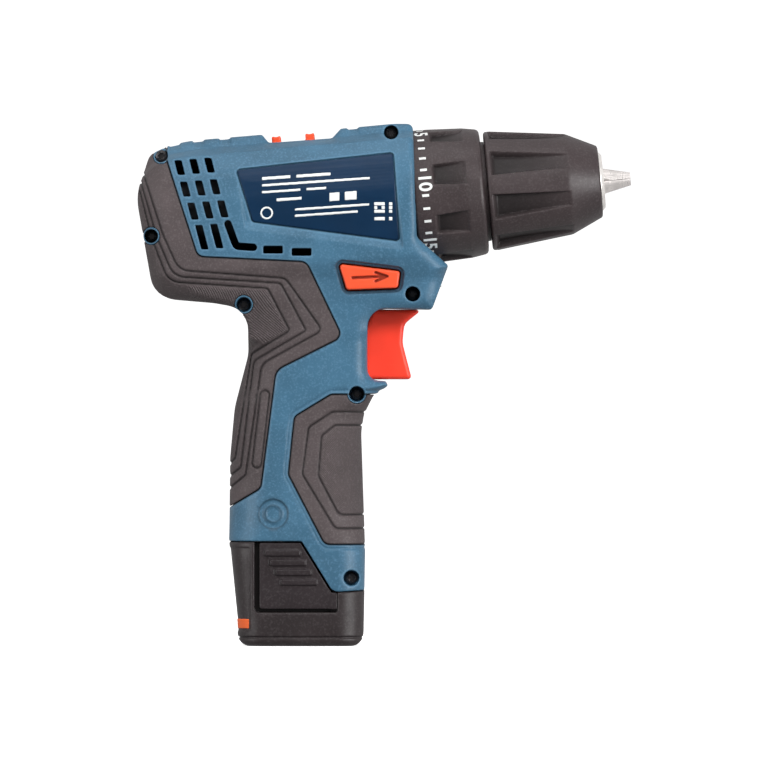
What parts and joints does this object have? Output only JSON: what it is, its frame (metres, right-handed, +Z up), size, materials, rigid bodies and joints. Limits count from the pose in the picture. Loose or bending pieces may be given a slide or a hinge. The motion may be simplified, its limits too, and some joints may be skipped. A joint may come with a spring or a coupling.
{
  "type": "cordless drill",
  "caption": "Compact two-speed cordless drill with a clutch collar, keyless chuck, trigger, direction lever and a stick battery that pulls out of the handle.",
  "frame": {"origin": "centre of the battery base, on the surface the tool stands on", "axes": "+X forward towards the chuck, +Z up, +Y to the left of someone holding it; the working axis lies in the XZ plane and tilts nose-up by 5 degrees"},
  "size_m": [0.173, 0.052, 0.1828],
  "materials": {
    "blue_plastic": "fine-grained steel-blue moulding",
    "soft_rubber": "matte warm-grey overmould",
    "dark_plastic": "dark grey moulding",
    "black_plastic": "black moulding",
    "red_plastic": "satin red-orange moulding",
    "orange_plastic": "satin orange moulding",
    "steel": "machined",
    "dark_steel": "blackened",
    "sintered_steel": "sintered grey",
    "brass": "plain",
    "copper": "enamelled winding wire",
    "spring_steel": "bright wire",
    "cell_jacket": "jacketed cell",
    "clear_lens": "clear warm-white lens",
    "lead_insulation": "red insulation"
  },
  "bodies": {
    "body": {"right_housing": "blue_plastic", "left_housing": "blue_plastic", "right_overmould": "soft_rubber", "left_overmould": "soft_rubber", "housing_screws": "dark_steel", "motor_can": "steel", "motor_magnets": "dark_steel", "motor_end_cap": "black_plastic", "motor_brushes": "black_plastic", "motor_plate": "steel", "bearings": "steel", "gear_case": "black_plastic", "first_ring": "sintered_steel", "third_ring": "sintered_steel", "clutch_plate": "steel", "clutch_spring": "spring_steel", "trigger_switch": "black_plastic", "trigger_spring": "spring_steel", "work_light": "clear_lens", "switch_leads": "lead_insulation", "handle_terminals": "black_plastic"},
    "spindle": {"spindle": "steel", "chuck_screw": "dark_steel", "chuck_body": "dark_steel"},
    "chuck_sleeve": {"chuck_sleeve": "dark_plastic", "chuck_nut": "brass"},
    "jaw_1": {"jaw_1": "steel"},
    "jaw_2": {"jaw_2": "steel"},
    "jaw_3": {"jaw_3": "steel"},
    "rotor": {"rotor_shaft": "steel", "armature": "sintered_steel", "armature_windings": "copper", "commutator": "copper", "rotor_fan": "black_plastic", "motor_pinion": "sintered_steel"},
    "first_carrier": {"first_carrier": "sintered_steel"},
    "second_carrier": {"second_carrier": "sintered_steel"},
    "clutch_collar": {"clutch_collar": "dark_plastic"},
    "clutch_nut": {"clutch_nut": "dark_plastic"},
    "gear_shift": {"gear_selector": "orange_plastic", "shift_fork": "spring_steel", "shift_ring": "sintered_steel"},
    "trigger": {"trigger": "red_plastic"},
    "direction_lever": {"direction_lever": "orange_plastic"},
    "battery": {"battery_case": "dark_plastic", "battery_stick": "dark_plastic", "battery_cells": "cell_jacket", "battery_contacts": "brass"},
    "right_latch": {"right_latch": "black_plastic"},
    "left_latch": {"left_latch": "black_plastic"},
    "first_planet_1": {"first_planet_1": "sintered_steel"},
    "first_planet_2": {"first_planet_2": "sintered_steel"},
    "first_planet_3": {"first_planet_3": "sintered_steel"},
    "second_planet_1": {"second_planet_1": "sintered_steel"},
    "second_planet_2": {"second_planet_2": "sintered_steel"},
    "second_planet_3": {"second_planet_3": "sintered_steel"},
    "third_planet_1": {"third_planet_1": "sintered_steel"},
    "third_planet_2": {"third_planet_2": "sintered_steel"},
    "third_planet_3": {"third_planet_3": "sintered_steel"}
  },
  "joints": [
    {"name": "spindle_spin", "type": "hinge", "parent": "body", "child": "spindle", "pos_m": [0, 0, 0.1535], "axis": [0.9962, 0, 0.0872], "continuous": true},
    {"name": "rotor_spin", "type": "hinge", "parent": "body", "child": "rotor", "pos_m": [0, 0, 0.1535], "axis": [0.9962, 0, 0.0872], "continuous": true},
    {"name": "first_carrier_spin", "type": "hinge", "parent": "body", "child": "first_carrier", "pos_m": [0, 0, 0.1535], "axis": [0.9962, 0, 0.0872], "continuous": true},
    {"name": "second_carrier_spin", "type": "hinge", "parent": "body", "child": "second_carrier", "pos_m": [0, 0, 0.1535], "axis": [0.9962, 0, 0.0872], "continuous": true},
    {"name": "first_planet_1_spin", "type": "hinge", "parent": "first_carrier", "child": "first_planet_1", "pos_m": [0.00094, 0, 0.14274], "axis": [0.9962, 0, 0.0872], "continuous": true},
    {"name": "first_planet_2_spin", "type": "hinge", "parent": "first_carrier", "child": "first_planet_2", "pos_m": [-0.00047, 0.00935, 0.15888], "axis": [0.9962, 0, 0.0872], "continuous": true},
    {"name": "first_planet_3_spin", "type": "hinge", "parent": "first_carrier", "child": "first_planet_3", "pos_m": [-0.00047, -0.00935, 0.15888], "axis": [0.9962, 0, 0.0872], "continuous": true},
    {"name": "second_planet_1_spin", "type": "hinge", "parent": "second_carrier", "child": "second_planet_1", "pos_m": [0.00888, 0, 0.14374], "axis": [0.9962, 0, 0.0872], "continuous": true},
    {"name": "second_planet_2_spin", "type": "hinge", "parent": "second_carrier", "child": "second_planet_2", "pos_m": [0.00751, 0.00909, 0.15943], "axis": [0.9962, 0, 0.0872], "continuous": true},
    {"name": "second_planet_3_spin", "type": "hinge", "parent": "second_carrier", "child": "second_planet_3", "pos_m": [0.00751, -0.00909, 0.15943], "axis": [0.9962, 0, 0.0872], "continuous": true},
    {"name": "third_planet_1_spin", "type": "hinge", "parent": "spindle", "child": "third_planet_1", "pos_m": [0.01947, 0, 0.14436], "axis": [0.9962, 0, 0.0872], "continuous": true},
    {"name": "third_planet_2_spin", "type": "hinge", "parent": "spindle", "child": "third_planet_2", "pos_m": [0.01806, 0.00935, 0.1605], "axis": [0.9962, 0, 0.0872], "continuous": true},
    {"name": "third_planet_3_spin", "type": "hinge", "parent": "spindle", "child": "third_planet_3", "pos_m": [0.01806, -0.00935, 0.1605], "axis": [0.9962, 0, 0.0872], "continuous": true},
    {"name": "chuck_sleeve_turn", "type": "hinge", "parent": "spindle", "child": "chuck_sleeve", "pos_m": [0, 0, 0.1535], "axis": [0.9962, 0, 0.0872], "range_deg": [0, 3060]},
    {"name": "jaw_1_slide", "type": "slide", "parent": "spindle", "child": "jaw_1", "axis": [-0.9623, 0.2588, -0.0842], "range_m": [0, 0.0174]},
    {"name": "jaw_2_slide", "type": "slide", "parent": "spindle", "child": "jaw_2", "axis": [-0.9818, -0.1294, 0.1391], "range_m": [0, 0.0174]},
    {"name": "jaw_3_slide", "type": "slide", "parent": "spindle", "child": "jaw_3", "axis": [-0.9427, -0.1294, -0.3075], "range_m": [0, 0.0174]},
    {"name": "clutch_collar_turn", "type": "hinge", "parent": "body", "child": "clutch_collar", "pos_m": [0, 0, 0.1535], "axis": [-0.9962, 0, -0.0872], "range_deg": [-22.5, 202.5]},
    {"name": "clutch_nut_slide", "type": "slide", "parent": "clutch_collar", "child": "clutch_nut", "axis": [-0.9962, 0, -0.0872], "range_m": [-0.0004, 0.0034], "deforming": ["clutch_spring"]},
    {"name": "gear_selector_slide", "type": "slide", "parent": "body", "child": "gear_shift", "axis": [0.9962, 0, 0.0872], "range_m": [0, 0.004]},
    {"name": "trigger_press", "type": "slide", "parent": "body", "child": "trigger", "axis": [-1, 0, 0], "range_m": [0, 0.006], "stiffness_N_per_m": 900, "springref_m": -0.004, "deforming": ["trigger_spring"]},
    {"name": "direction_lever_slide", "type": "slide", "parent": "body", "child": "direction_lever", "axis": [0, 1, 0], "range_m": [-0.0035, 0.0035]},
    {"name": "battery_slide", "type": "slide", "parent": "body", "child": "battery", "axis": [0, 0, -1], "range_m": [0, 0.09]},
    {"name": "right_latch_press", "type": "hinge", "parent": "battery", "child": "right_latch", "pos_m": [0.0116, -0.0216, 0.0159], "axis": [0, 0, 1], "range_deg": [-3, 0], "stiffness_Nm_per_rad": 2, "springref_deg": 2.86},
    {"name": "left_latch_press", "type": "hinge", "parent": "battery", "child": "left_latch", "pos_m": [0.0116, 0.0216, 0.0159], "axis": [0, 0, 1], "range_deg": [0, 3], "stiffness_Nm_per_rad": 2, "springref_deg": -2.86}
  ],
  "couplings": [
    {"joint": "rotor_spin", "follows": "spindle_spin", "ratio": 48.6},
    {"joint": "first_carrier_spin", "follows": "spindle_spin", "ratio": 13.5},
    {"joint": "second_carrier_spin", "follows": "spindle_spin", "ratio": 3.6},
    {"joint": "first_planet_1_spin", "follows": "spindle_spin", "ratio": -43.875},
    {"joint": "first_planet_2_spin", "follows": "spindle_spin", "ratio": -43.875},
    {"joint": "first_planet_3_spin", "follows": "spindle_spin", "ratio": -43.875},
    {"joint": "second_planet_1_spin", "follows": "spindle_spin", "ratio": -11.314},
    {"joint": "second_planet_2_spin", "follows": "spindle_spin", "ratio": -11.314},
    {"joint": "second_planet_3_spin", "follows": "spindle_spin", "ratio": -11.314},
    {"joint": "third_planet_1_spin", "follows": "spindle_spin", "ratio": -3.25},
    {"joint": "third_planet_2_spin", "follows": "spindle_spin", "ratio": -3.25},
    {"joint": "third_planet_3_spin", "follows": "spindle_spin", "ratio": -3.25},
    {"joint": "jaw_1_slide", "follows": "chuck_sleeve_turn", "m_per_rad": 0.00032577},
    {"joint": "jaw_2_slide", "follows": "chuck_sleeve_turn", "m_per_rad": 0.00032577},
    {"joint": "jaw_3_slide", "follows": "chuck_sleeve_turn", "m_per_rad": 0.00032577},
    {"joint": "clutch_nut_slide", "follows": "clutch_collar_turn", "m_per_rad": 0.00095493}
  ]
}
